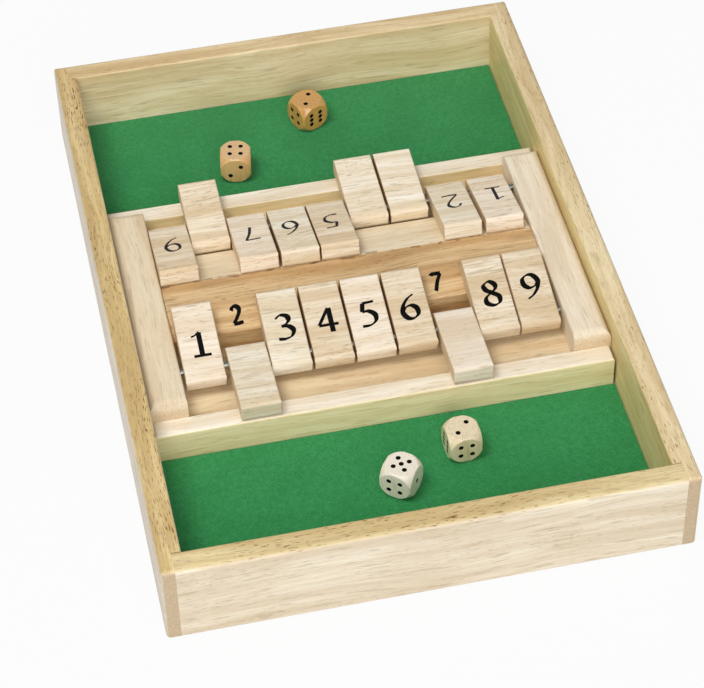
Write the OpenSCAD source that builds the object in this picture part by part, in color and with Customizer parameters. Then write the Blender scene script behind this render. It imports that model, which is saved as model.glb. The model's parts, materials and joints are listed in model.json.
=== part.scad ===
// Two-player shut the box: a shallow wooden box with a felt dice tray at each
// end and, across the middle, two rows of numbered flaps that turn on steel rods.
// Origin: middle of the box, on the surface it stands on. +Y points to the far
// player, +X along the flap rows, +Z up.

/* [Box] */
// Height of the wall boards
wall_h = 40; // [38:0.5:60]
// Thickness of the wall boards
wall_t = 10; // [8:0.5:14]
// Length of the near dice tray, from wall to divider
near_tray_l = 75.3; // [60:0.1:110]
// Length of the far dice tray, from divider to wall
far_tray_l = 79.4; // [60:0.1:110]
// Part of the side boards' thickness that is cut away to lap the end boards
lap_t = 4; // [2:0.25:6]
// Rounding of the outer edges and corners
outer_r = 2; // [0.8:0.2:3.5]
// Rounding of the inner top edges
inner_r = 1; // [0.4:0.1:2]

/* [Bottom] */
// Height of the bottom panel's underside above the table
panel_z = 5; // [3:0.5:8]
// Thickness of the bottom panel
panel_t = 4; // [3:0.25:6]
// Depth of the groove that holds the bottom panel
groove_d = 4; // [2:0.25:5]
// Clearance of the panel's edge at the bottom of its groove
groove_fit = 0.3; // [0.1:0.05:0.6]
// Thickness of the felt
felt_t = 0.9; // [0.6:0.1:2]
// Clearance around each felt
felt_fit = 0.3; // [0.1:0.05:0.6]

/* [Deck] */
// Thickness of the deck board that carries the flap rows
deck_t = 9.7; // [7:0.1:14]
// Thickness of the dividers
divider_t = 8.8; // [6:0.2:12]
// Height of the dividers above the deck
divider_rise = 5.8; // [5.2:0.1:6.6]
// Gap between a divider's end and the wall
divider_fit = 1; // [0.2:0.1:2]
// Rounding of the dividers' top edges
divider_r = 1; // [0.4:0.1:2]
// Width of the side rails
rail_w = 16.3; // [12:0.1:24]
// Gap between a rail and the wall
rail_fit = 0.2; // [0.1:0.05:0.6]
// Wood above the rods in the side rails
rail_cover = 3.1; // [2:0.1:6]
// Rounding of the rails' ends
rail_r = 5; // [1:0.2:7]
// Rounding of the rails' outer top edges
rail_edge_r = 4; // [1:0.2:5]

/* [Ridge] */
// Width of the ridge at its foot
ridge_w = 43.5; // [40:0.1:50]
// Distance from the ridge's middle to the top of its near slope
ridge_near_top = 7; // [5:0.1:9]
// Distance from the ridge's middle to the top of its far slope
ridge_far_top = 9.8; // [8:0.1:12]
// Slope of the ridge's two sides, and of a raised flap
lean = 13.1; // [12:0.1:15]

/* [Flaps] */
// Width of a flap
flap_w = 17.3; // [14:0.1:22]
// Length of a flap
flap_l = 39.5; // [36:0.1:46]
// Thickness of a flap
flap_t = 8; // [7:0.1:9]
// Gap between neighbouring flaps
flap_gap = 1.05; // [0.9:0.05:1.5]
// Gap at the tight end of each row
tight_gap = 0.9; // [0.8:0.05:1.5]
// Gap at the loose end of each row
loose_gap = 2; // [1:0.05:3]
// Distance from the rod to the flap's pivot end
pivot_e = 8.3; // [7.6:0.1:9]
// Rounding of the pivot end
pivot_r = 3.1; // [2.4:0.1:3.4]
// Rounding of the free end
free_r = 1.6; // [1:0.1:3]
// Easing of a flap's other edges
flap_ease = 0.7; // [0.3:0.05:1.2]
// Clearance under the pivot end as it turns over the deck
sweep_gap = 0.4; // [0.3:0.05:0.8]
// Clearance between a flap and what it rests on
rest_gap = 0.2; // [0.15:0.05:0.4]
// Distance from the ridge's middle to the free end of a raised flap
end_clear = 9; // [8:0.1:11]
// Distance from a flipped near flap's end to its divider's outer face
near_flip_step = 0.4; // [0:0.1:3]
// Distance by which a flipped far flap's end passes its divider's outer face
far_overhang = 3.1; // [0:0.1:4]

/* [Rods] */
// Diameter of the rods
rod_d = 3; // [2.5:0.1:3.6]
// Radial clearance of the flaps on the rods
rod_play = 0.08; // [0.04:0.01:0.1]
// Depth of the rod holes in the rails
rod_seat = 8; // [5:0.5:10]
// Radial clearance of the rods in the rails
rod_fit = 0.05; // [0.02:0.01:0.1]

/* [Dice] */
// Size of a die across its faces
die_s = 14.2; // [12:0.2:18]
// Rounding of a die's edges
die_r = 1; // [0.6:0.1:3]
// Diameter over a die's corners, as a share of its size
die_corner = 1.375; // [1.325:0.005:1.45]
// Spacing of a die's pips
pip_pitch = 2.5; // [2:0.1:2.8]
// Diameter of a pip
pip_d = 2.2; // [1.6:0.1:2.6]
// Depth of a pip
pip_depth = 0.5; // [0.3:0.05:0.8]

/* [Hidden] */
$fn = 48;
// Overrun that keeps cuts clear of the faces they pass
eps = 0.01;
// Flaps in each row
flap_n = 9;
// Clearance under each die, on the felt
die_gap = 0.1;
// Length by which the rail's rod hole runs past the rod's end
rod_end_fit = 0.3;
// Spacing of the three pips in a column of a six, in steps of the pip spacing
six_step = 1.05;

// Across the box
row_w = flap_n * flap_w + (flap_n - 1) * flap_gap + tight_gap + loose_gap;
inner_w = row_w + 2 * (rail_w + rail_fit);
box_w = inner_w + 2 * wall_t;
pitch = flap_w + flap_gap;
rail_x = row_w / 2;

// A flap on its rod, and the ridge that it leans on
reach = flap_l - pivot_e;
corner_x = pivot_e - pivot_r;
corner_z = flap_t / 2 - pivot_r;
sweep_r = sqrt(corner_x * corner_x + corner_z * corner_z) + pivot_r;
rod_h = sweep_r + sweep_gap;
// Distance from the rod to the slope, square to it
lean_h = flap_t / 2 + rest_gap;
// The rod stands this far from the ridge's middle
rod_y = end_clear + reach * cos(lean) + flap_t / 2 * sin(lean);
// Height of the ridge's slopes over the deck, this far from its middle
function slope_h(y) = rod_h + (rod_y - y) * tan(lean) - lean_h / cos(lean);

// Along the box: from the ridge's middle to the dividers' outer faces, and in all
near_half = rod_y + reach + near_flip_step;
far_half = rod_y + reach - far_overhang;
inner_l = near_tray_l + near_half + far_half + far_tray_l;
box_l = inner_l + 2 * wall_t;
mid_y = near_tray_l + near_half - inner_l / 2;
deck_y0 = mid_y - near_half + divider_t;
deck_y1 = mid_y + far_half - divider_t;

// A flipped flap lies on the inner top edge of its divider, edge_y from the rod
// and edge_z below it
edge_z = rod_h - divider_rise;
function flip(edge_y) = asin(lean_h / norm([edge_y, edge_z])) - atan2(edge_z, edge_y);
near_swing = 180 - lean - flip(near_half - divider_t - rod_y);
far_swing = 180 - lean - flip(far_half - divider_t - rod_y);

// Heights above the table
floor_z = panel_z + panel_t;
deck_z = floor_z + deck_t;
rod_z = deck_z + rod_h;
rail_h = rod_h + rod_d / 2 + rail_cover;
felt_z = floor_z + felt_t;
die_z = felt_z + die_gap + die_s / 2;

// Flaps that lie flipped, with their numbers hidden
NEAR_FLIPPED = [2, 7];
FAR_FLIPPED = [3, 4, 8];

// How far each flap has slid along its rod, towards the higher numbers
NEAR_SLID = [-0.4, 0.6, 0, 0, -0.1, -0.2, 0, -0.7, -1];
FAR_SLID = [1, 1.7, 2.6, 2.6, 2.2, 1.7, 1.8, 1.3, 0.6];

// Each die: x and y from the middle of its tray, turn, and the values on its
// top, front and right faces
DICE = [
  [-2.9, 0.7, -37, 5, 4, 1],
  [26.3, 14.7, 3, 2, 4, 1],
  [5.3, 18, 24, 2, 6, 3],
  [-34.4, -10, -11, 4, 2, 6]
];
near_tray_y = -inner_l / 2 + near_tray_l / 2;
far_tray_y = inner_l / 2 - far_tray_l / 2;

// Places of the pips on a face, in steps of the pip spacing
PIPS = [
  [],
  [[0, 0]],
  [[-1, -1], [1, 1]],
  [[-1, -1], [0, 0], [1, 1]],
  [[-1, -1], [1, 1], [-1, 1], [1, -1]],
  [[-1, -1], [1, 1], [-1, 1], [1, -1], [0, 0]],
  [[-1, -six_step], [1, six_step], [-1, six_step], [1, -six_step], [-1, 0], [1, 0]]
];

// Rectangle from [x0, y0], with a radius on each corner in the order
// lower left, lower right, upper right, upper left
module rounded(x0, y0, w, h, r) {
  difference() {
    translate([x0, y0]) square([w, h]);
    corner_waste(x0, y0, 1, 1, r[0]);
    corner_waste(x0 + w, y0, -1, 1, r[1]);
    corner_waste(x0 + w, y0 + h, -1, -1, r[2]);
    corner_waste(x0, y0 + h, 1, -1, r[3]);
  }
}

// What the corner at [x, y] loses when it is rounded: a square less its circle.
// The shape lies on the side given by the signs sx and sy.
module corner_waste(x, y, sx, sy, r) {
  if (r > 0) difference() {
    translate([x - (sx > 0 ? 1 : r), y - (sy > 0 ? 1 : r)]) square(r + 1);
    translate([x + sx * r, y + sy * r]) circle(r);
  }
}

// Extrudes a profile drawn in Y and Z along X, between x0 and x1
module along_x(x0, x1) {
  translate([x0, 0, 0]) rotate([90, 0, 90]) linear_extrude(x1 - x0) children();
}

// Extrudes a profile drawn in X and Z along Y, between y0 and y1
module along_y(y0, y1) {
  translate([0, y1, 0]) rotate([90, 0, 0]) linear_extrude(y1 - y0) children();
}

// The box's outer form, with its top edges and upright corners rounded
module outer_form() {
  intersection() {
    linear_extrude(wall_h)
      rounded(-box_w / 2, -box_l / 2, box_w, box_l, [outer_r, outer_r, outer_r, outer_r]);
    along_x(-box_w / 2, box_w / 2)
      rounded(-box_l / 2, 0, box_l, wall_h, [0, 0, outer_r, outer_r]);
    along_y(-box_l / 2, box_l / 2)
      rounded(-box_w / 2, 0, box_w, wall_h, [0, 0, outer_r, outer_r]);
  }
}

// End board at the near side, lapped into the side boards and grooved for the panel
module end_board() {
  half = box_w / 2 - wall_t + lap_t;
  y0 = -box_l / 2;
  color("wheat") difference() {
    intersection() {
      outer_form();
      along_x(-half, half) rounded(y0, 0, wall_t, wall_h, [0, 0, inner_r, 0]);
    }
    translate([-half - eps, y0 + wall_t - groove_d, panel_z])
      cube([2 * half + 2 * eps, groove_d + 1, panel_t]);
  }
}

// Side board at the left, cut back at both ends to take the end boards
module side_board() {
  x0 = -box_w / 2;
  color("burlywood") difference() {
    intersection() {
      outer_form();
      along_y(-box_l / 2, box_l / 2) rounded(x0, 0, wall_t, wall_h, [0, 0, inner_r, 0]);
    }
    for (s = [-1, 1])
      translate([x0 + wall_t - lap_t, s * (box_l / 2 - wall_t / 2) - wall_t / 2 - (1 - s) / 2, -1])
        cube([lap_t + 1, wall_t + 1, wall_h + 2]);
    translate([x0 + wall_t - groove_d, -inner_l / 2 - 1, panel_z])
      cube([groove_d + 1, inner_l + 2, panel_t]);
  }
}

module near_board() { end_board(); }
module far_board() { mirror([0, 1, 0]) end_board(); }
module left_board() { side_board(); }
module right_board() { mirror([1, 0, 0]) side_board(); }

// Thin panel whose edges sit in the boards' grooves
module bottom_panel() {
  w = inner_w + 2 * (groove_d - groove_fit);
  l = inner_l + 2 * (groove_d - groove_fit);
  color("tan") translate([-w / 2, -l / 2, panel_z]) cube([w, l, panel_t]);
}

// Felt on the panel, over a tray that starts at y0
module felt(y0, tray_l) {
  color("seagreen")
    translate([-inner_w / 2 + felt_fit, y0 + felt_fit, floor_z])
      cube([inner_w - 2 * felt_fit, tray_l - 2 * felt_fit, felt_t]);
}
module near_felt() { felt(-inner_l / 2, near_tray_l); }
module far_felt() { felt(inner_l / 2 - far_tray_l, far_tray_l); }

// Board across the middle, between the dividers
module deck_board() {
  color("peru")
    translate([-inner_w / 2, deck_y0, floor_z]) cube([inner_w, deck_y1 - deck_y0, deck_t]);
}

// Upright strip that closes a tray and stops the flipped flaps
module divider(y0, r_near, r_far) {
  half = inner_w / 2 - divider_fit;
  color("wheat") intersection() {
    along_x(-half, half)
      rounded(y0, floor_z, divider_t, deck_t + divider_rise, [0, 0, r_far, r_near]);
    along_y(y0, y0 + divider_t)
      rounded(-half, floor_z, 2 * half, deck_t + divider_rise, [0, 0, divider_r, divider_r]);
  }
}
module near_divider() { divider(deck_y0 - divider_t, divider_r, divider_r / 2); }
module far_divider() { divider(deck_y1, divider_r / 2, divider_r); }

// Rail beside the rows, with a blind hole for the end of each rod
module rail() {
  x0 = -inner_w / 2 + rail_fit;
  color("antiquewhite") difference() {
    intersection() {
      along_x(x0, x0 + rail_w)
        rounded(deck_y0, deck_z, deck_y1 - deck_y0, rail_h, [0, 0, rail_r, rail_r]);
      along_y(deck_y0, deck_y1)
        rounded(x0, deck_z, rail_w, rail_h, [0, 0, inner_r, rail_edge_r]);
    }
    for (s = [-1, 1])
      translate([-rail_x - rod_seat - rod_end_fit, mid_y + s * rod_y, rod_z])
        rotate([0, 90, 0]) cylinder(r = rod_d / 2 + rod_fit, h = rod_seat + rod_end_fit + 1);
  }
}
module left_rail() { rail(); }
module right_rail() { mirror([1, 0, 0]) rail(); }

// Bar between the rails, on the deck, with a profile drawn from the ridge's middle
module ridge_bar(profile) {
  translate([0, mid_y, deck_z])
    along_x(-rail_x + rail_fit, rail_x - rail_fit) polygon(profile);
}

// Main board of the ridge: the near slope, and the top that falls to the far slope
module centre_ridge() {
  color("peru") ridge_bar([
    [-ridge_w / 2, 0], [ridge_far_top, 0], [ridge_far_top, slope_h(ridge_far_top)],
    [-ridge_near_top, slope_h(ridge_near_top)], [-ridge_w / 2, slope_h(ridge_w / 2)]
  ]);
}

// Second board of the ridge, which the far row leans on
module far_slope() {
  color("wheat") ridge_bar([
    [ridge_far_top, 0], [ridge_w / 2, 0], [ridge_w / 2, slope_h(ridge_w / 2)],
    [ridge_far_top, slope_h(ridge_far_top)]
  ]);
}

// Steel rod along one row, seated in both rails
module rod(side) {
  half = rail_x + rod_seat;
  color("silver") translate([-half, mid_y + side * rod_y, rod_z])
    rotate([0, 90, 0]) cylinder(r = rod_d / 2, h = 2 * half);
}
module near_rod() { rod(-1); }
module far_rod() { rod(1); }

// A flap about its rod: the free end towards +Y, the numbered face up
module flap_blank() {
  difference() {
    intersection() {
      along_x(-flap_w / 2, flap_w / 2)
        rounded(-pivot_e, -flap_t / 2, flap_l, flap_t, [pivot_r, free_r, free_r, pivot_r]);
      along_y(-pivot_e, reach)
        rounded(-flap_w / 2, -flap_t / 2, flap_w, flap_t,
          [flap_ease, flap_ease, flap_ease, flap_ease]);
      translate([0, 0, -flap_t / 2]) linear_extrude(flap_t)
        rounded(-flap_w / 2, -pivot_e, flap_w, flap_l,
          [flap_ease, flap_ease, flap_ease, flap_ease]);
    }
    translate([-flap_w, 0, 0]) rotate([0, 90, 0])
      cylinder(r = rod_d / 2 + rod_play, h = 2 * flap_w);
  }
}

// Places a flap in its row. The near row counts from the left, the far row from the right.
module flap(side, number) {
  near = side < 0;
  down = len([for (n = near ? NEAR_FLIPPED : FAR_FLIPPED) if (n == number) n]) > 0;
  swing = near ? near_swing : far_swing;
  slid = (near ? NEAR_SLID : FAR_SLID)[number - 1];
  x = (number - (flap_n + 1) / 2) * pitch + (loose_gap - tight_gap) / 2 + slid;
  color("antiquewhite") translate([0, mid_y, 0]) rotate([0, 0, near ? 0 : 180])
    translate([x, -rod_y, rod_z]) rotate([lean + (down ? swing : 0), 0, 0]) flap_blank();
}
module near_flap_1() { flap(-1, 1); }
module near_flap_2() { flap(-1, 2); }
module near_flap_3() { flap(-1, 3); }
module near_flap_4() { flap(-1, 4); }
module near_flap_5() { flap(-1, 5); }
module near_flap_6() { flap(-1, 6); }
module near_flap_7() { flap(-1, 7); }
module near_flap_8() { flap(-1, 8); }
module near_flap_9() { flap(-1, 9); }
module far_flap_1() { flap(1, 1); }
module far_flap_2() { flap(1, 2); }
module far_flap_3() { flap(1, 3); }
module far_flap_4() { flap(1, 4); }
module far_flap_5() { flap(1, 5); }
module far_flap_6() { flap(1, 6); }
module far_flap_7() { flap(1, 7); }
module far_flap_8() { flap(1, 8); }
module far_flap_9() { flap(1, 9); }

// Pips sunk into the top face of a die, as shallow dishes
module pips(value) {
  dish_r = (pip_d * pip_d / 4 + pip_depth * pip_depth) / (2 * pip_depth);
  for (p = PIPS[value])
    translate([p[0] * pip_pitch, p[1] * pip_pitch, die_s / 2 + dish_r - pip_depth])
      sphere(dish_r);
}

// Die about its own centre: a cube with rounded edges and corners
module die_blank(top, front, right) {
  h = die_s / 2;
  r4 = [die_r, die_r, die_r, die_r];
  difference() {
    intersection() {
      along_x(-h, h) rounded(-h, -h, die_s, die_s, r4);
      along_y(-h, h) rounded(-h, -h, die_s, die_s, r4);
      translate([0, 0, -h]) linear_extrude(die_s) rounded(-h, -h, die_s, die_s, r4);
      sphere(die_s * die_corner / 2);
    }
    pips(top);
    rotate([180, 0, 0]) pips(7 - top);
    rotate([90, 0, 0]) pips(front);
    rotate([-90, 0, 0]) pips(7 - front);
    rotate([0, 90, 0]) rotate([0, 0, 90]) pips(right);
    rotate([0, -90, 0]) rotate([0, 0, 90]) pips(7 - right);
  }
}

module die(i, tray_y) {
  d = DICE[i];
  color(i < 2 ? "ivory" : "sandybrown")
    translate([d[0], tray_y + d[1], die_z]) rotate([0, 0, d[2]]) die_blank(d[3], d[4], d[5]);
}
module near_die_1() { die(0, near_tray_y); }
module near_die_2() { die(1, near_tray_y); }
module far_die_1() { die(2, far_tray_y); }
module far_die_2() { die(3, far_tray_y); }

near_board();
far_board();
left_board();
right_board();
bottom_panel();
near_felt();
far_felt();
deck_board();
near_divider();
far_divider();
left_rail();
right_rail();
centre_ridge();
far_slope();
near_rod();
far_rod();
near_flap_1();
near_flap_2();
near_flap_3();
near_flap_4();
near_flap_5();
near_flap_6();
near_flap_7();
near_flap_8();
near_flap_9();
far_flap_1();
far_flap_2();
far_flap_3();
far_flap_4();
far_flap_5();
far_flap_6();
far_flap_7();
far_flap_8();
far_flap_9();
near_die_1();
near_die_2();
far_die_1();
far_die_2();
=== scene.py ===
import json
import math
import random

import bmesh
import bpy
from mathutils import Matrix, Vector, noise


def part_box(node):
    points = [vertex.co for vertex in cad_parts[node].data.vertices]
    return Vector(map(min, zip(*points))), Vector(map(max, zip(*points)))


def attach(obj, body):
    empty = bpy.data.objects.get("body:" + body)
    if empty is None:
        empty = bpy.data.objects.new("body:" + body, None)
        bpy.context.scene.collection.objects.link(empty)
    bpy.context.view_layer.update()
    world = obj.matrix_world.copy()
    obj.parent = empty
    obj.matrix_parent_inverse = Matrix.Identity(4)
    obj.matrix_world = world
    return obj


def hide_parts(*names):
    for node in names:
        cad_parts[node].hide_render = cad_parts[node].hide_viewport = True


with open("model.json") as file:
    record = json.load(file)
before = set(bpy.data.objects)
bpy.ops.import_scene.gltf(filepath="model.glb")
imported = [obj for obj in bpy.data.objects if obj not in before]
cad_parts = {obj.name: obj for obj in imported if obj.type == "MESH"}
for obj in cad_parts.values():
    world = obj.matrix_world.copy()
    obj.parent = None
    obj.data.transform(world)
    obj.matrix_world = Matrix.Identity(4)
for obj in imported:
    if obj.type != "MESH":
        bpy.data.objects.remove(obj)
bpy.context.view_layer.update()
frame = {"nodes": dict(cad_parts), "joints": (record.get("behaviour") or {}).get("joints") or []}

MM = 0.001
NODES = frame["nodes"]
JOINTS = {j["child"]: j for j in frame["joints"]}
FLAP_COUNT = 9
# How far the raised flaps lean back, which is also the pitch of the ridge's two slopes
LEAN = math.radians(13.1)


# ---------------------------------------------------------------- colours and node graphs

def srgb(r, g, b):
    """Linear colour with alpha, from 0 to 255 screen values."""
    def channel(v):
        v /= 255
        return v / 12.92 if v <= 0.04045 else ((v + 0.055) / 1.055) ** 2.4
    return (channel(r), channel(g), channel(b), 1.0)


def shaded(colour, shade):
    """The colour times shade, which is one number or one for each channel."""
    shades = shade if isinstance(shade, tuple) else (shade,) * 3
    return tuple(c * s for c, s in zip(colour, shades)) + (1.0,)


class Graph:
    """Shorthand for building one material's nodes."""

    def __init__(self, name):
        self.mat = bpy.data.materials.new(name)
        self.mat.use_nodes = True
        self.tree = self.mat.node_tree
        self.shader = self.tree.nodes["Principled BSDF"]

    def link(self, source, target):
        self.tree.links.new(source, target)

    def feed(self, socket, value):
        if isinstance(value, bpy.types.NodeSocket):
            self.link(value, socket)
        else:
            socket.default_value = value

    def node(self, kind, **inputs):
        """Adds a node. An input goes by its name, or by its number as i0, i1 and so on."""
        made = self.tree.nodes.new(kind)
        for key, value in inputs.items():
            numbered = key[0] == "i" and key[1:].isdigit()
            self.feed(made.inputs[int(key[1:]) if numbered else key], value)
        return made

    def set_shader(self, **values):
        """Sets the shader's own sockets, with _ for a space in a name."""
        for key, value in values.items():
            self.feed(self.shader.inputs[key.replace("_", " ")], value)

    def coordinates(self):
        """The object's own coordinates, and its surface normal."""
        outputs = self.tree.nodes.new("ShaderNodeTexCoord").outputs
        return outputs["Object"], outputs["Normal"]

    def component(self, vector, axis):
        return self.node("ShaderNodeSeparateXYZ", Vector=vector).outputs[axis]

    def math(self, operation, a, b=0.0):
        made = self.node("ShaderNodeMath", i0=a, i1=b)
        made.operation = operation
        return made.outputs[0]

    def times(self, a, b):
        return self.math("MULTIPLY", a, b)

    def vector_math(self, operation, a, b):
        made = self.node("ShaderNodeVectorMath", i0=a, i1=b)
        made.operation = operation
        return made.outputs[0]

    def noise(self, vector, detail=2.0, roughness=0.5, output="Fac"):
        made = self.node("ShaderNodeTexNoise", Vector=vector, Scale=1.0, Detail=detail,
                         Roughness=roughness)
        return made.outputs[output]

    def scaled(self, vector, scale, offset=(0, 0, 0)):
        """The vector times scale, which is one number or three, moved by offset."""
        scale = scale if isinstance(scale, (tuple, list)) else (scale,) * 3
        made = self.node("ShaderNodeMapping", Vector=vector, Location=offset, Scale=scale)
        return made.outputs["Vector"]

    def remap(self, value, low, high, to_low=0.0, to_high=1.0):
        made = self.node("ShaderNodeMapRange", i0=value, i1=low, i2=high, i3=to_low, i4=to_high)
        made.interpolation_type = "SMOOTHSTEP"
        return made.outputs[0]

    def mix(self, factor, a, b):
        made = self.tree.nodes.new("ShaderNodeMix")
        made.data_type = "RGBA"
        for number, value in ((0, factor), (6, a), (7, b)):
            self.feed(made.inputs[number], value)
        return made.outputs[2]

    def bump(self, height, strength, distance):
        made = self.node("ShaderNodeBump", Height=height, Strength=strength, Distance=distance)
        self.link(made.outputs["Normal"], self.shader.inputs["Normal"])


# ---------------------------------------------------------------- wood

# How far into the noise each piece's own place may be
NOISE_REACH = 40
# Each layer of a wood's figure: noise scale along and across the grain, detail, roughness, and
# the noise values at which the layer starts and is full
BANDS = (7, 150, 3.0, 0.55, 0.36, 0.66)
STREAKS = (28, 950, 3.0, 0.62, 0.38, 0.68)
LINES = (60, 820, 2.0, 0.5, 0.58, 0.70)
PORES = (260, 2400, 1.0, 0.4, 0.655, 0.735)
CLOUDS = (16, 60, 2.0, 0.5, 0.42, 0.66)
# How strongly bands, streaks and lines colour the wood
BAND_SHARE = 0.62
STREAK_SHARE = 0.40
LINE_SHARE = 0.42
# A slow wander of the grain, so that its lines aren't ruled straight
WANDER_SCALE = 14
WANDER = 0.010
# Shades of the dark wood: fine lines, end grain, and pores and the painted shade spots along a
# joint, which are browner
LINE_SHADE = 0.66
END_SHADE = 0.72
PORE_AND_SEAM_SHADE = (0.44, 0.34, 0.24)
# Upward normals at which a board's edge tones start and are full, and the flecks on its faces
EDGE_NORMAL = (0.35, 0.9)
FACE_FLECKS = 0.35
# Normals along the grain at which end grain starts and is full, and its specks
END_NORMAL = (0.62, 0.92)
END_SPECK_SCALE = 1500
END_SPECK_NOISE = (0.42, 0.7)
END_SPECK_SHADE = 0.62
END_SPECK_SHARE = 0.5
# Spots of painted shade along a joint, where the far flaps' free ends leave a gap: half their
# band's width, and the share of it that is full
SEAM_HALF = 1.5 * MM
SEAM_CORE = 0.6
SEAM_SPOT_SCALE = (170, 260, 260)
SEAM_SPOT_NOISE = (0.57, 0.63)
SEAM_SPOT_SHARE = 0.75
# The lacquer's roughness, how much rougher the streaks are, and the relief of the grain
COAT_ROUGHNESS = 0.12
ROUGHNESS_SPREAD = 0.12
STREAK_RELIEF = 0.35
WOOD_BUMP = 0.16
WOOD_BUMP_DEPTH = 0.12 * MM


def wandering(g, place, offset):
    """The place, pulled a little to and fro."""
    pull = g.noise(g.scaled(place, WANDER_SCALE, offset), 1.0, output="Color")
    centred = g.vector_math("SUBTRACT", pull, (0.5, 0.5, 0.5))
    return g.vector_math("ADD", place, g.vector_math("MULTIPLY", centred, (WANDER,) * 3))


def seam_shade_spots(g, place, offset, seam, colour, pores_and_seam_shade):
    """Dark spots of painted shade along a joint that runs along X, at Y = seam."""
    away = g.math("ABSOLUTE", g.math("SUBTRACT", g.component(place, "Y"), seam))
    near_seam = g.remap(away, SEAM_HALF * SEAM_CORE, SEAM_HALF, 1.0, 0.0)
    spots = g.remap(g.noise(g.scaled(place, SEAM_SPOT_SCALE, offset)), *SEAM_SPOT_NOISE)
    return g.mix(g.times(g.times(near_seam, spots), SEAM_SPOT_SHARE), colour, pores_and_seam_shade)


def end_grain(g, place, facing, offset, colour, end):
    """Speckled end grain, where the surface faces along the grain."""
    across = g.remap(g.math("ABSOLUTE", facing), *END_NORMAL)
    speck = g.remap(g.noise(g.scaled(place, END_SPECK_SCALE, offset)), *END_SPECK_NOISE)
    speckled = g.mix(g.times(speck, END_SPECK_SHARE), end, shaded(end, END_SPECK_SHADE))
    return g.mix(across, colour, speckled)


def wood(name, pale, dark, along, seed, flecks=0.3, figure=1.0, gloss=0.42, end=None,
         patches=0.1, open_pores=0.0, seam=None, edge=None, coat=0.0):
    """Sawn hardwood, with its figure along one axis and end grain across it.

    edge is a second pale and dark pair, for the narrow upper edge of a board, which shows more
    flecks. end is the end grain's colour, which on flap sides that face a neighbour is painted
    shade. seam is the Y of a glued joint, along which spots of painted shade are put.
    """
    g = Graph(name)
    place, normal = g.coordinates()
    start = random.Random(seed)
    offset = tuple(start.uniform(-NOISE_REACH, NOISE_REACH) for _ in range(3))
    axis = "XYZ".index(along)
    bent = wandering(g, place, offset)

    def layer(along_scale, across_scale, detail, roughness, low, high, shift=0.0):
        scale = [across_scale] * 3
        scale[axis] = along_scale
        value = g.noise(g.scaled(bent, scale, offset), detail, roughness)
        return g.remap(value, low - shift, high - shift)

    deepest = edge[1] if edge else dark
    deep = shaded(dark, LINE_SHADE)
    pores_and_seam_shade = shaded(deepest, PORE_AND_SEAM_SHADE)
    end = end or shaded(deepest, END_SHADE)
    if edge:
        upward = g.component(normal, "Z")
        on_edge = g.remap(upward, *EDGE_NORMAL)
        pale = g.mix(on_edge, pale, edge[0])
        dark = g.mix(on_edge, dark, edge[1])
        flecks = g.times(g.remap(upward, *EDGE_NORMAL, FACE_FLECKS, 1.0), flecks)

    streaks = layer(*STREAKS)
    pores = layer(*PORES, open_pores)
    clouds = layer(*CLOUDS)
    pore_share = g.times(g.times(pores, g.math("ADD", 0.5, clouds)), flecks)
    colour = g.mix(g.times(layer(*BANDS), BAND_SHARE * figure), pale, dark)
    colour = g.mix(g.times(streaks, STREAK_SHARE * figure), colour, dark)
    colour = g.mix(g.times(layer(*LINES), LINE_SHARE * figure), colour, deep)
    colour = g.mix(g.times(clouds, patches), colour, dark)
    colour = g.mix(pore_share, colour, pores_and_seam_shade)
    # Spots of painted shade along the joint
    if seam is not None:
        colour = seam_shade_spots(g, place, offset, seam, colour, pores_and_seam_shade)
    colour = end_grain(g, place, g.component(normal, axis), offset, colour, end)

    rough = g.remap(streaks, 0.0, 1.0, gloss, gloss + ROUGHNESS_SPREAD)
    g.set_shader(Base_Color=colour, Roughness=rough, Coat_Weight=coat,
                 Coat_Roughness=COAT_ROUGHNESS)
    g.bump(g.math("SUBTRACT", g.times(streaks, STREAK_RELIEF), pores), WOOD_BUMP, WOOD_BUMP_DEPTH)
    return g.mat


# ---------------------------------------------------------------- felt, steel and ink

FELT_SHADE, FELT_LIGHT = srgb(25, 115, 57), srgb(56, 151, 87)
FELT_TUFT, FELT_CLOUD = srgb(66, 154, 96), srgb(30, 118, 60)
FIBRE_SCALE, TUFT_SCALE, CLOUD_SCALE = 1700, 420, 45
TUFT_SHARE, CLOUD_SHARE = 0.35, 0.25
FIBRE_RELIEF = 0.3 * MM
STEEL_DARK, STEEL_LIGHT = srgb(128, 128, 125), srgb(176, 176, 172)
STEEL_SCALE = (60, 2600, 2600)
INK_WEAR_SCALE = (500, 1800, 1800)


def felt_material(name):
    """Short fibres, small tufts and a slow change of shade."""
    g = Graph(name)
    place, _ = g.coordinates()
    fibres = g.noise(g.scaled(place, FIBRE_SCALE), 3.0, 0.7)
    tufts = g.remap(g.noise(g.scaled(place, TUFT_SCALE), 2.0, 0.6), 0.4, 0.7)
    clouds = g.remap(g.noise(g.scaled(place, CLOUD_SCALE)), 0.4, 0.7)
    colour = g.mix(g.remap(fibres, 0.3, 0.7), FELT_SHADE, FELT_LIGHT)
    colour = g.mix(g.times(tufts, TUFT_SHARE), colour, FELT_TUFT)
    colour = g.mix(g.times(clouds, CLOUD_SHARE), colour, FELT_CLOUD)
    g.set_shader(Base_Color=colour, Roughness=g.remap(fibres, 0.0, 1.0, 0.88, 1.0),
                 Sheen_Weight=0.25, Sheen_Roughness=0.5, Specular_IOR_Level=0.15)
    g.bump(fibres, 0.7, FIBRE_RELIEF)
    return g.mat


def steel_material(name):
    """Drawn rod, with fine lines along X."""
    g = Graph(name)
    place, _ = g.coordinates()
    lines = g.noise(g.scaled(place, STEEL_SCALE))
    g.set_shader(Base_Color=g.mix(lines, STEEL_DARK, STEEL_LIGHT),
                 Roughness=g.remap(lines, 0.3, 0.7, 0.22, 0.38), Metallic=1.0)
    return g.mat


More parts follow.
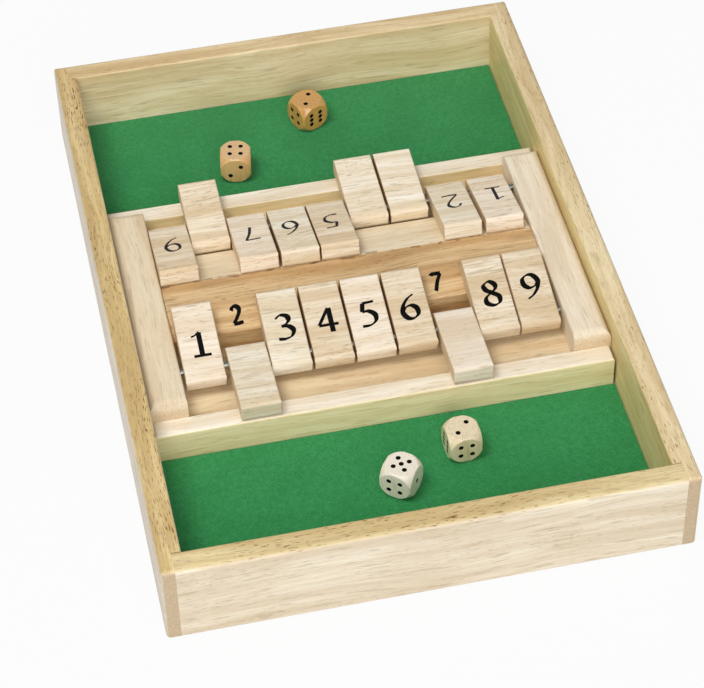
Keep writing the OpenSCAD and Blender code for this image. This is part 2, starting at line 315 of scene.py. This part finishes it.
def ink_material(name, solid, worn):
    """Printed or painted black that takes a little of the wood's texture."""
    g = Graph(name)
    place, _ = g.coordinates()
    wear = g.remap(g.noise(g.scaled(place, INK_WEAR_SCALE), 3.0, 0.6), 0.5, 0.78)
    g.set_shader(Base_Color=g.mix(wear, solid, worn),
                 Roughness=g.remap(wear, 0.0, 1.0, 0.6, 0.75), Specular_IOR_Level=0.08)
    return g.mat


# ---------------------------------------------------------------- materials of the CAD nodes

def dress(node, material):
    """Gives a CAD node its material."""
    slots = NODES[node].data.materials
    slots.clear()
    slots.append(material)


# Each wall's pale and dark wood on its faces and on its upper edge, grain direction, flecks,
# darker patches and how many pores are open
WALLS = {
    "near_board": (srgb(247, 236, 214), srgb(216, 195, 162),
                   srgb(230, 214, 166), srgb(192, 164, 110), "X", 0.85, 0.4, 0.035),
    "far_board": (srgb(252, 234, 200), srgb(214, 186, 134),
                  srgb(236, 214, 172), srgb(196, 164, 112), "X", 0.5, 0.3, 0.01),
    "left_board": (srgb(240, 230, 212), srgb(212, 194, 164),
                   srgb(231, 208, 153), srgb(181, 148, 90), "Y", 0.95, 0.45, 0.06),
    "right_board": (srgb(243, 227, 172), srgb(208, 180, 116),
                    srgb(238, 220, 180), srgb(202, 174, 124), "Y", 0.7, 0.3, 0.03),
}
WALL_END = srgb(206, 182, 148)
DIVIDER_PALE, DIVIDER_DARK = srgb(255, 240, 196), srgb(228, 204, 146)
DIVIDER_EDGE = (srgb(250, 241, 224), srgb(222, 202, 168))
# The left rail's tones are darker than the right rail's by painted shade, which tones down the key
# lamp's light on it
RAILS = {
    "left_rail": (srgb(229, 214, 186), srgb(203, 178, 140)),
    "right_rail": (srgb(240, 229, 208), srgb(214, 193, 162)),
}
RAIL_END = srgb(228, 204, 170)
DECK_PALE, DECK_DARK = srgb(242, 223, 186), srgb(210, 177, 130)
RIDGE_PALE, RIDGE_DARK = srgb(226, 196, 149), srgb(184, 143, 92)
FAR_SLOPE_PALE, FAR_SLOPE_DARK = srgb(243, 228, 199), srgb(218, 192, 149)
PLY_PALE, PLY_DARK = srgb(214, 184, 140), srgb(178, 140, 94)
# The joint between the ridge's band and its far slope, where spots of painted shade go
RIDGE_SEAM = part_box("far_slope")[0].y

# Flaps cut from paler or warmer stock
PLAIN_STOCK = (srgb(248, 240, 223), srgb(220, 198, 160))
PALE_STOCK = (srgb(250, 239, 222), srgb(228, 205, 173))
WARM_STOCK = (srgb(244, 231, 208), srgb(212, 185, 144))
PALE_FLAPS = {"near": (1, 5, 7), "far": (1, 7)}
WARM_FLAPS = {"near": (4, 6, 8, 9), "far": (5, 8, 9)}
# The near row stands more to the light, and its stock is painted a little darker, as painted shade
ROW_PAINTED_SHADE = {"near": 0.92, "far": 1.0}
# Flaps with a side that stands clear of its neighbours, and shows pale
OPEN_FLAPS = {"near": (1, 2, 3, 7, 8, 9), "far": (1, 2, 4, 7, 8, 9)}
# The other flaps' sides face a neighbour across a narrow gap, and their dark colour is painted
# shade in that gap
GAP_SHADED_FLAP_SIDE = srgb(166, 130, 90)
OPEN_FLAP_SIDE = srgb(222, 198, 162)
FLAP_SEEDS = {"near": 60, "far": 80}

# Each die's pale and dark wood and its end grain, seed, flecks, figure, gloss and coat
DIE_WOODS = {
    "near_die_1": (srgb(247, 240, 226), srgb(220, 205, 176), srgb(238, 230, 212),
                   100, 0.15, 0.6, 0.3, 0.4),
    "near_die_2": (srgb(242, 228, 196), srgb(212, 188, 140), srgb(230, 214, 180),
                   101, 0.15, 0.8, 0.3, 0.5),
    "far_die_1": (srgb(220, 170, 95), srgb(180, 122, 50), srgb(206, 156, 90),
                  110, 0.2, 0.8, 0.24, 0.8),
    "far_die_2": (srgb(228, 188, 130), srgb(192, 142, 82), srgb(222, 184, 134),
                  111, 0.2, 0.8, 0.24, 0.8),
}


def dress_walls():
    for seed, (node, parts) in enumerate(WALLS.items(), 10):
        pale, dark, edge_pale, edge_dark, along, flecks, patches, open_pores = parts
        dress(node, wood(f"wall_{node}", pale, dark, along, seed, flecks, figure=1.1, gloss=0.4,
                         end=WALL_END, patches=patches, open_pores=open_pores,
                         edge=(edge_pale, edge_dark)))


def dress_middle():
    """The dividers, rails, deck, ridge and bottom panel."""
    for seed, node in enumerate(("near_divider", "far_divider"), 30):
        dress(node, wood(f"divider_{node}", DIVIDER_PALE, DIVIDER_DARK, "X", seed, flecks=0.25,
                         edge=DIVIDER_EDGE))
    for seed, (node, (pale, dark)) in enumerate(RAILS.items(), 40):
        dress(node, wood(f"rail_{node}", pale, dark, "Y", seed, flecks=0.25, figure=0.9,
                         gloss=0.44, end=RAIL_END))
    dress("deck_board", wood("deck_wood", DECK_PALE, DECK_DARK, "X", 51, gloss=0.46))
    dress("centre_ridge", wood("ridge_wood", RIDGE_PALE, RIDGE_DARK, "X", 52, flecks=0.6,
                               figure=1.35, gloss=0.46, patches=0.3, open_pores=0.02,
                               seam=RIDGE_SEAM))
    dress("bottom_panel", wood("panel_wood", PLY_PALE, PLY_DARK, "Y", 53, flecks=0.4, figure=0.9,
                               gloss=0.6))


def flap_stock(row, k):
    """The flap's pale and dark wood, with its row's painted shade."""
    stock = PLAIN_STOCK
    if k in PALE_FLAPS[row]:
        stock = PALE_STOCK
    elif k in WARM_FLAPS[row]:
        stock = WARM_STOCK
    return (shaded(tone, ROW_PAINTED_SHADE[row]) for tone in stock)


def dress_flaps():
    for row, first in FLAP_SEEDS.items():
        for k in range(1, FLAP_COUNT + 1):
            node = f"{row}_flap_{k}"
            pale, dark = flap_stock(row, k)
            # A side that faces a neighbour takes the painted shade of the gap
            side = OPEN_FLAP_SIDE if k in OPEN_FLAPS[row] else GAP_SHADED_FLAP_SIDE
            dress(node, wood(f"wood_{node}", pale, dark, "X", first + k, flecks=0.45, figure=1.3,
                             gloss=0.46, end=side, open_pores=0.025))


def dress_dice():
    for node, (pale, dark, end, seed, flecks, figure, gloss, coat) in DIE_WOODS.items():
        dress(node, wood(f"wood_{node}", pale, dark, "Z", seed, flecks, figure, gloss, end,
                         coat=coat))


dress_walls()
dress_middle()
dress_flaps()
dress_dice()
STEEL = steel_material("rod_steel")
for rod_node in ("near_rod", "far_rod"):
    dress(rod_node, STEEL)


def add_piece(name, mesh, material, smooth=False):
    """Makes an object of a bmesh, and frees the bmesh."""
    data = bpy.data.meshes.new(name)
    mesh.to_mesh(data)
    mesh.free()
    data.materials.append(material)
    for polygon in data.polygons:
        polygon.use_smooth = smooth
    piece = bpy.data.objects.new(name, data)
    bpy.context.scene.collection.objects.link(piece)
    return piece


# ---------------------------------------------------------------- the ridge's far slope

FAR_SLOPE_WOOD = wood("far_slope_wood", FAR_SLOPE_PALE, FAR_SLOPE_DARK, "X", 54, flecks=0.25,
                      figure=0.9, gloss=0.44, seam=RIDGE_SEAM)
# How far short of the rod the slope stops, and how much its edges are eased
SLOPE_STOP = 9.0 * MM
SLOPE_EASED = 0.3 * MM


def far_slope_board():
    """The ridge's second board, carried on to just short of where the flaps' pivot ends swing."""
    low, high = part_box("far_slope")
    foot = JOINTS["far_flap_1"]["pos_m"][1] - SLOPE_STOP
    foot_top = high.z - (foot - low.y) * math.tan(LEAN)
    profile = ((low.y, low.z), (foot, low.z), (foot, foot_top), (low.y, high.z))
    mesh = bmesh.new()
    left, right = ([mesh.verts.new((x, y, z)) for y, z in profile] for x in (low.x, high.x))
    mesh.faces.new(left)
    mesh.faces.new(right)
    for i in range(len(profile)):
        j = (i + 1) % len(profile)
        mesh.faces.new((left[i], left[j], right[j], right[i]))
    bmesh.ops.bevel(mesh, geom=mesh.edges[:], offset=SLOPE_EASED, segments=2, profile=0.5,
                    affect="EDGES")
    bmesh.ops.recalc_face_normals(mesh, faces=mesh.faces)
    piece = add_piece("far_slope_board", mesh, FAR_SLOPE_WOOD)
    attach(piece, "box")
    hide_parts("far_slope")


far_slope_board()


# ---------------------------------------------------------------- felt sheets

FELT = felt_material("green_felt")
FELT_STEP = 1.6 * MM
# The nap's unevenness, and how many times that the cut edges lie lower
FELT_RELIEF = 0.05 * MM
FELT_EDGE_DROP = 3.0
FELT_EDGE_WOBBLE = 0.12 * MM
# Noise scales of the edges and the nap, and the slice of the noise that each is read from
FELT_EDGE_SCALE, FELT_EDGE_SLICE = 400, 3.0
FELT_NAP_SCALE, FELT_NAP_SLICE = 700, 9.0


def felt_layer(mesh, low, high, across, along, top):
    """One face of a sheet, as rows of vertices, with slightly uneven cut edges."""
    rows = []
    for j in range(along + 1):
        row = []
        for i in range(across + 1):
            x = low.x + (high.x - low.x) * i / across
            y = low.y + (high.y - low.y) * j / along
            edge_x = (i == 0) - (i == across)
            edge_y = (j == 0) - (j == along)
            spot = Vector((x * FELT_EDGE_SCALE, y * FELT_EDGE_SCALE, FELT_EDGE_SLICE))
            wobble = FELT_EDGE_WOBBLE * (0.5 + 0.5 * noise.noise(spot))
            x += edge_x * wobble
            y += edge_y * wobble
            z = low.z
            if top:
                spot = Vector((x * FELT_NAP_SCALE, y * FELT_NAP_SCALE, FELT_NAP_SLICE))
                drop = FELT_EDGE_DROP if edge_x or edge_y else 1.0 + noise.noise(spot)
                z = high.z - FELT_RELIEF * drop
            row.append(mesh.verts.new((x, y, z)))
        rows.append(row)
    return rows


def felt_sheet(node, name):
    """A laid sheet of felt with a soft nap, inside its CAD solid."""
    low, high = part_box(node)
    across = round((high.x - low.x) / FELT_STEP)
    along = round((high.y - low.y) / FELT_STEP)
    mesh = bmesh.new()
    top, bottom = (felt_layer(mesh, low, high, across, along, is_top) for is_top in (True, False))
    for j in range(along):
        for i in range(across):
            mesh.faces.new((top[j][i], top[j][i + 1], top[j + 1][i + 1], top[j + 1][i]))
            mesh.faces.new((bottom[j][i], bottom[j + 1][i], bottom[j + 1][i + 1], bottom[j][i + 1]))
    ring = [(j, 0) for j in range(along, 0, -1)] + [(0, i) for i in range(across)]
    ring += [(j, across) for j in range(along)] + [(along, i) for i in range(across, 0, -1)]
    for (j0, i0), (j1, i1) in zip(ring, ring[1:] + ring[:1]):
        mesh.faces.new((top[j0][i0], bottom[j0][i0], bottom[j1][i1], top[j1][i1]))
    bmesh.ops.recalc_face_normals(mesh, faces=mesh.faces)
    piece = add_piece(name, mesh, FELT)
    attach(piece, "box")
    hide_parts(node)


felt_sheet("near_felt", "near_felt_sheet")
felt_sheet("far_felt", "far_felt_sheet")


# ---------------------------------------------------------------- the numerals' shapes

# Each digit's pen strokes, on a body one unit high. A stroke is a smooth curve through its points,
# and a corner is made by starting a new stroke.
STROKES = {
    1: [[(0.20, 0.80), (0.36, 0.86), (0.50, 0.97)],
        [(0.475, 0.95), (0.475, 0.03)],
        [(0.18, 0.02), (0.78, 0.02)]],
    2: [[(0.12, 0.76), (0.22, 0.93), (0.42, 0.98), (0.60, 0.84), (0.57, 0.62), (0.38, 0.34),
         (0.13, 0.05)],
        [(0.13, 0.05), (0.42, 0.04), (0.74, 0.08)]],
    3: [[(0.14, 0.86), (0.32, 0.98), (0.54, 0.92), (0.58, 0.74), (0.46, 0.60), (0.30, 0.54)],
        [(0.30, 0.54), (0.54, 0.50), (0.68, 0.32), (0.58, 0.10), (0.36, 0.02), (0.12, 0.04)]],
    4: [[(0.50, 0.98), (0.08, 0.32)],
        [(0.08, 0.31), (0.76, 0.31)],
        [(0.52, 0.98), (0.52, 0.01)]],
    5: [[(0.30, 0.94), (0.70, 0.97)],
        [(0.31, 0.94), (0.24, 0.60)],
        [(0.24, 0.60), (0.46, 0.60), (0.65, 0.44), (0.64, 0.20), (0.44, 0.04), (0.14, 0.02)]],
    6: [[(0.64, 0.98), (0.42, 0.84), (0.22, 0.58), (0.15, 0.30), (0.28, 0.06), (0.48, 0.02),
         (0.66, 0.16), (0.66, 0.40), (0.50, 0.54), (0.30, 0.50), (0.19, 0.38)]],
    7: [[(0.12, 0.92), (0.70, 0.95)],
        [(0.68, 0.95), (0.50, 0.50), (0.40, 0.01)]],
    8: [[(0.60, 0.84), (0.42, 0.98), (0.22, 0.86), (0.25, 0.66), (0.44, 0.52), (0.65, 0.34),
         (0.62, 0.10), (0.41, 0.01), (0.19, 0.12), (0.20, 0.34), (0.40, 0.51), (0.58, 0.66),
         (0.60, 0.84)]],
}
# A nine is a six turned by half a turn, in a body this wide
NINE_WIDTH = 0.82
STROKES[9] = [[(NINE_WIDTH - x, 1.0 - y) for x, y in stroke] for stroke in STROKES[6]]
# The small face differs in its seven
SMALL_SEVEN = [[(0.10, 0.86), (0.18, 0.95), (0.74, 0.95)],
               [(0.72, 0.95), (0.42, 0.50), (0.20, 0.01)]]
SMALL_STROKES = {**STROKES, 7: SMALL_SEVEN}
# The pen nib's greatest and least width for each face, in units of the digit's height
NEAR_NIB = (0.20, 0.065)
FAR_NIB = (0.14, 0.055)
SMALL_NIB = (0.32, 0.17)
NIB_TURN = math.radians(28)
CURVE_STEPS = 9
SAME_POINT = 1e-6


def smooth_path(points):
    """Catmull-Rom curve through the points."""
    p = [Vector(q) for q in points]
    if len(p) == 2:
        return p
    closed = (p[0] - p[-1]).length < SAME_POINT
    before = p[-2] if closed else p[0] * 2 - p[1]
    after = p[1] if closed else p[-1] * 2 - p[-2]
    p = [before] + p + [after]
    path = []
    for a, b, c, d in zip(p, p[1:], p[2:], p[3:]):
        for step in range(CURVE_STEPS):
            t = step / CURVE_STEPS
            path.append(0.5 * ((2 * b) + (c - a) * t + (2 * a - 5 * b + 4 * c - d) * t * t
                               + (3 * b - a - 3 * c + d) * t * t * t))
    path.append(p[-2])
    return path


def nib_ring(mesh, point, heading, nib):
    """The stroke's cross-section at a point, 0 to 1 high, as wide as the nib draws it."""
    thick, thin = nib
    side = Vector((-heading.y, heading.x))
    turn = math.atan2(heading.y, heading.x) - NIB_TURN
    half = 0.5 * math.hypot(thick * math.sin(turn), thin * math.cos(turn))
    left, right = point + side * half, point - side * half
    corners = ((left, 0), (right, 0), (right, 1), (left, 1))
    return [mesh.verts.new((q.x, q.y, z)) for q, z in corners]


def stroke_solid(points, nib):
    """A closed slab that the nib leaves along the stroke, as an object."""
    path = smooth_path(points)
    closed = (path[0] - path[-1]).length < SAME_POINT
    if closed:
        path = path[:-1]
    count = len(path)
    mesh = bmesh.new()
    rings = []
    for i, point in enumerate(path):
        a = path[i - 1] if i or closed else point
        b = path[(i + 1) % count] if i + 1 < count or closed else point
        rings.append(nib_ring(mesh, point, (b - a).normalized(), nib))
    spans = list(zip(rings, rings[1:])) + ([(rings[-1], rings[0])] if closed else [])
    for a, b in spans:
        for i in range(4):
            mesh.faces.new((a[i], a[(i + 1) % 4], b[(i + 1) % 4], b[i]))
    if not closed:
        mesh.faces.new(rings[0])
        mesh.faces.new(rings[-1])
    bmesh.ops.recalc_face_normals(mesh, faces=mesh.faces)
    data = bpy.data.meshes.new("stroke")
    mesh.to_mesh(data)
    mesh.free()
    solid = bpy.data.objects.new("stroke", data)
    bpy.context.scene.collection.objects.link(solid)
    return solid


def digit_mesh(strokes, nib):
    """All of a digit's strokes as one closed slab."""
    parts = [stroke_solid(points, nib) for points in strokes]
    body = parts[0]
    for other in parts[1:]:
        join = body.modifiers.new("join", "BOOLEAN")
        join.operation = "UNION"
        join.solver = "EXACT"
        join.use_self = True
        join.object = other
    bpy.context.view_layer.update()
    depsgraph = bpy.context.evaluated_depsgraph_get()
    made = bpy.data.meshes.new_from_object(body.evaluated_get(depsgraph))
    for part in parts:
        bpy.data.objects.remove(part)
    return made


# ---------------------------------------------------------------- numerals on the flaps

INK = ink_material("black_ink", srgb(5, 5, 5), srgb(34, 29, 25))
GREY_INK = ink_material("grey_ink", srgb(46, 44, 43), srgb(92, 86, 78))
INK_ABOVE = 0.04 * MM
INK_BELOW = 0.02 * MM
FLAP_HALF = 4.0 * MM
# Each row's direction to its raised flaps' free ends, nib, numeral height and ink, how far from the
# rod each numeral's middle is printed and how far to the right of its flap's middle, for flaps 1 to
# 9. The two lists are in mm.
ROWS = {
    "near": (1, NEAR_NIB, 12.5 * MM, INK,
             (10.3, 11.2, 11.6, 11.4, 11.2, 11.3, 11.0, 11.2, 11.3),
             (0.7, 0.3, 0.85, 0.5, 0.5, 0.1, 0.3, 0.3, 0.2)),
    "far": (-1, FAR_NIB, 11.6 * MM, GREY_INK,
            (10.3, 10.8, 11.0, 11.2, 11.2, 11.3, 11.0, 10.6, 9.5),
            (-0.8, 0.15, 0.0, 0.0, 0.0, 0.5, 0.0, 0.0, -0.2)),
}


def numeral(name, digit, height, middle, right, up, body, ink):
    """Prints a digit's mesh with its middle at a point of a surface, in which right and up lie."""
    widths = [v.co.x for v in digit.vertices]
    centre = (min(widths) + max(widths)) / 2
    normal = right.cross(up).normalized()
    rise = normal * (INK_ABOVE + INK_BELOW)
    turned = Matrix((right * height, up * height, rise)).transposed().to_4x4()
    corner = middle - right * height * centre - up * height / 2 - normal * INK_BELOW
    digit.transform(Matrix.Translation(corner) @ turned)
    digit.materials.clear()
    digit.materials.append(ink)
    piece = bpy.data.objects.new(name, digit)
    bpy.context.scene.collection.objects.link(piece)
    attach(piece, body)


def flap_plane(node, toward):
    """The rod at the flap's middle, the way to its free end, and its printed face's normal."""
    joint = JOINTS[node]
    low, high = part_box(node)
    rod = Vector(((low.x + high.x) / 2, joint["pos_m"][1], joint["pos_m"][2]))
    out = Vector((0, toward * math.cos(LEAN), math.sin(LEAN)))
    face = Vector((0, -toward * math.sin(LEAN), math.cos(LEAN)))
    swing = -joint["range_deg"][0]
    if swing > 0:
        # this flap rests flipped, at the far end of its swing
        turn = Matrix.Rotation(math.radians(swing), 3, Vector(joint["axis"]))
        out, face = turn @ out, turn @ face
    return rod, out, face


def print_flaps(row):
    toward, nib, height, ink, printed_at, printed_x = ROWS[row]
    for k in range(1, FLAP_COUNT + 1):
        node = f"{row}_flap_{k}"
        rod, out, face = flap_plane(node, toward)
        right = out.cross(face)
        middle = (rod + out * printed_at[k - 1] * MM + right * printed_x[k - 1] * MM
                  + face * FLAP_HALF)
        numeral(f"{node}_number", digit_mesh(STROKES[k], nib), height, middle, right, out, node,
                ink)


for printed_row in ROWS:
    print_flaps(printed_row)


# ---------------------------------------------------------------- numerals on the near slope

SMALL_H = 9.4 * MM
SMALL_SQUEEZE = 0.74
SMALL_FIRST_X = -71.8 * MM
SMALL_PITCH = 17.8 * MM
# From the middle of the ridge to the near slope's top, and from there down the slope to the
# numerals' middles
RIDGE_NEAR_TOP = 7.0 * MM
SMALL_DOWN = 6.75 * MM


def print_ridge():
    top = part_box("centre_ridge")[1].z
    near_rod_y, far_rod_y = (JOINTS[f"{row}_flap_1"]["pos_m"][1] for row in ("near", "far"))
    top_y = (near_rod_y + far_rod_y) / 2 - RIDGE_NEAR_TOP
    up = Vector((0, math.cos(LEAN), math.sin(LEAN)))
    right = Vector((1, 0, 0)) * SMALL_SQUEEZE
    for k in range(1, FLAP_COUNT + 1):
        edge = Vector((SMALL_FIRST_X + (k - 1) * SMALL_PITCH, top_y, top))
        numeral(f"ridge_number_{k}", digit_mesh(SMALL_STROKES[k], SMALL_NIB), SMALL_H,
                edge - up * SMALL_DOWN, right, up, "box", INK)


print_ridge()


# ---------------------------------------------------------------- pip paint

# The pips' dishes and places are the CAD's
PIP_R = 1.1 * MM
PIP_DEPTH = 0.5 * MM
PIP_PITCH = 2.5 * MM
PIP_SIX_STRETCH = 1.05
DISH_R = (PIP_R ** 2 + PIP_DEPTH ** 2) / (2 * PIP_DEPTH)
PAINT_FILL = 0.97
PAINT_OVER = 0.025 * MM
PAINT_UNDER = 0.015 * MM
PAINT_RINGS = 5
PAINT_AROUND = 20
PIPS = {
    1: [(0, 0)],
    2: [(-1, -1), (1, 1)],
    3: [(-1, -1), (0, 0), (1, 1)],
    4: [(-1, -1), (1, 1), (-1, 1), (1, -1)],
    5: [(-1, -1), (1, 1), (-1, 1), (1, -1), (0, 0)],
    6: [(x, y * PIP_SIX_STRETCH) for x in (-1, 1) for y in (-1, 0, 1)],
}
# Turn in degrees, and the values on the top, front and right faces. Opposite faces add to seven.
DICE = {
    "near_die_1": (-37, 5, 4, 1),
    "near_die_2": (3, 2, 4, 1),
    "far_die_1": (24, 2, 6, 3),
    "far_die_2": (-11, 4, 2, 6),
}


def paint_skin(mesh, place, half, lift):
    """One face of a drop of paint, as rings of vertices that follow the dish."""
    floor_z = half - PIP_DEPTH
    made = [[mesh.verts.new(place @ Vector((0, 0, floor_z + lift)))]]
    for ring in range(1, PAINT_RINGS + 1):
        radius = PIP_R * PAINT_FILL * ring / PAINT_RINGS
        z = floor_z + DISH_R - math.sqrt(DISH_R ** 2 - radius ** 2) + lift
        angles = [2 * math.pi * i / PAINT_AROUND for i in range(PAINT_AROUND)]
        made.append([mesh.verts.new(place @ Vector((radius * math.cos(a), radius * math.sin(a), z)))
                     for a in angles])
    return made


def paint_drop(mesh, place, half):
    """A closed drop of paint in a dished pip."""
    top = paint_skin(mesh, place, half, PAINT_OVER)
    bottom = paint_skin(mesh, place, half, -PAINT_UNDER)
    sides = [(i, (i + 1) % PAINT_AROUND) for i in range(PAINT_AROUND)]
    for skin in (top, bottom):
        for i, j in sides:
            mesh.faces.new((skin[0][0], skin[1][i], skin[1][j]))
            for inner, outer in zip(skin[1:], skin[2:]):
                mesh.faces.new((inner[i], outer[i], outer[j], inner[j]))
    for i, j in sides:
        mesh.faces.new((top[-1][i], bottom[-1][i], bottom[-1][j], top[-1][j]))


def pip_paint(node):
    """The paint in all of a die's pips."""
    turn, top, front, right = DICE[node]
    low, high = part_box(node)
    half = (high.z - low.z) / 2
    base = Matrix.Translation((low + high) / 2) @ Matrix.Rotation(math.radians(turn), 4, "Z")
    quarter = Matrix.Rotation(math.pi / 2, 4, "Z")
    faces = (
        (top, Matrix.Identity(4)),
        (7 - top, Matrix.Rotation(math.pi, 4, "X")),
        (front, Matrix.Rotation(math.pi / 2, 4, "X")),
        (7 - front, Matrix.Rotation(-math.pi / 2, 4, "X")),
        (right, Matrix.Rotation(math.pi / 2, 4, "Y") @ quarter),
        (7 - right, Matrix.Rotation(-math.pi / 2, 4, "Y") @ quarter),
    )
    mesh = bmesh.new()
    for value, face in faces:
        for x, y in PIPS[value]:
            place = base @ face @ Matrix.Translation((x * PIP_PITCH, y * PIP_PITCH, 0))
            paint_drop(mesh, place, half)
    bmesh.ops.recalc_face_normals(mesh, faces=mesh.faces)
    piece = add_piece(f"{node}_pips", mesh, INK, smooth=True)
    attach(piece, node)


for die in DICE:
    pip_paint(die)


# ---------------------------------------------------------------- floor and lights

FLOOR_REACH = 3.0
FLOOR_GREY = (0.60, 0.60, 0.60, 1)
FLOOR_ROUGHNESS = 0.9
# How much of the floor's look in the picture is plain white, so that the shadow still shows
FLOOR_WHITE_SHARE = 0.93
WHITE = (1, 1, 1, 1)
AMBIENT = 0.39
# Each lamp's place, size in metres, power in watts and colour
LAMPS = {
    "key_light": ((-0.50, -0.25, 1.32), 0.55, 9.8, (1.0, 0.99, 0.97)),
    "front_light": ((-0.1, -1.45, 0.85), 1.2, 13.8, (1.0, 1.0, 1.0)),
}


def add_floor():
    mesh = bmesh.new()
    bmesh.ops.create_grid(mesh, x_segments=8, y_segments=8, size=FLOOR_REACH)
    g = Graph("floor_white")
    rays = g.tree.nodes.new("ShaderNodeLightPath").outputs
    mirrored = g.math("MAXIMUM", rays["Is Glossy Ray"], rays["Is Transmission Ray"])
    shown = g.math("MAXIMUM", rays["Is Camera Ray"], mirrored)
    g.set_shader(Base_Color=FLOOR_GREY, Roughness=FLOOR_ROUGHNESS)
    glow = g.node("ShaderNodeEmission", Color=WHITE, Strength=1.0)
    blend = g.node("ShaderNodeMixShader", Fac=g.times(shown, FLOOR_WHITE_SHARE),
                   i1=g.shader.outputs[0], i2=glow.outputs[0])
    g.link(blend.outputs[0], g.tree.nodes["Material Output"].inputs["Surface"])
    add_piece("floor", mesh, g.mat)


def area_light(name, place, size, power, colour):
    """A square lamp that points at the origin."""
    data = bpy.data.lights.new(name, "AREA")
    data.shape = "SQUARE"
    data.size = size
    data.energy = power
    data.color = colour
    lamp = bpy.data.objects.new(name, data)
    lamp.location = place
    lamp.rotation_euler = (-Vector(place)).to_track_quat("-Z", "Y").to_euler()
    bpy.context.scene.collection.objects.link(lamp)


def add_world():
    """An even dome of light, which the camera sees as white."""
    world = bpy.data.worlds.new("studio")
    world.use_nodes = True
    bpy.context.scene.world = world
    tree = world.node_tree
    background = tree.nodes["Background"]
    background.inputs["Color"].default_value = WHITE
    rays = tree.nodes.new("ShaderNodeLightPath").outputs
    shown = tree.nodes.new("ShaderNodeMath")
    shown.operation = "MAXIMUM"
    tree.links.new(rays["Is Camera Ray"], shown.inputs[0])
    tree.links.new(rays["Is Transmission Ray"], shown.inputs[1])
    strength = tree.nodes.new("ShaderNodeMapRange")
    strength.inputs[3].default_value = AMBIENT
    strength.inputs[4].default_value = 1.0
    tree.links.new(shown.outputs[0], strength.inputs[0])
    tree.links.new(strength.outputs[0], background.inputs["Strength"])


add_floor()
for lamp_name, lamp_values in LAMPS.items():
    area_light(lamp_name, *lamp_values)
add_world()
bpy.context.scene.view_settings.view_transform = "Standard"


# ---------------------------------------------------------------- the photograph's camera

# From a fit to the box's edges in the photograph
IMAGE_W = 704
CAMERA_TURN = math.radians(11.244)
CAMERA_DOWN = math.radians(45.765)
CAMERA_ROLL = math.radians(-1.418)
CAMERA_AT = Vector((-155.5, -787.6, 811.1)) * MM
FOCAL_PX = 2553.2
CENTRE_SHIFT_PX = (-3.9, -2.9)
SENSOR = 36.0


def add_camera():
    forward = Vector((math.sin(CAMERA_TURN) * math.cos(CAMERA_DOWN),
                      math.cos(CAMERA_TURN) * math.cos(CAMERA_DOWN),
                      -math.sin(CAMERA_DOWN)))
    level_right = Vector((math.cos(CAMERA_TURN), -math.sin(CAMERA_TURN), 0))
    level_up = level_right.cross(forward)
    right = level_right * math.cos(CAMERA_ROLL) + level_up * math.sin(CAMERA_ROLL)
    up = level_up * math.cos(CAMERA_ROLL) - level_right * math.sin(CAMERA_ROLL)
    turn = Matrix((right, up, -forward)).transposed().to_4x4()
    data = bpy.data.cameras.new("camera")
    data.sensor_width = SENSOR
    data.lens = FOCAL_PX * SENSOR / IMAGE_W
    data.shift_x, data.shift_y = (shift / IMAGE_W for shift in CENTRE_SHIFT_PX)
    camera = bpy.data.objects.new("camera", data)
    camera.matrix_world = Matrix.Translation(CAMERA_AT) @ turn
    bpy.context.scene.collection.objects.link(camera)
    bpy.context.scene.camera = camera


add_camera()
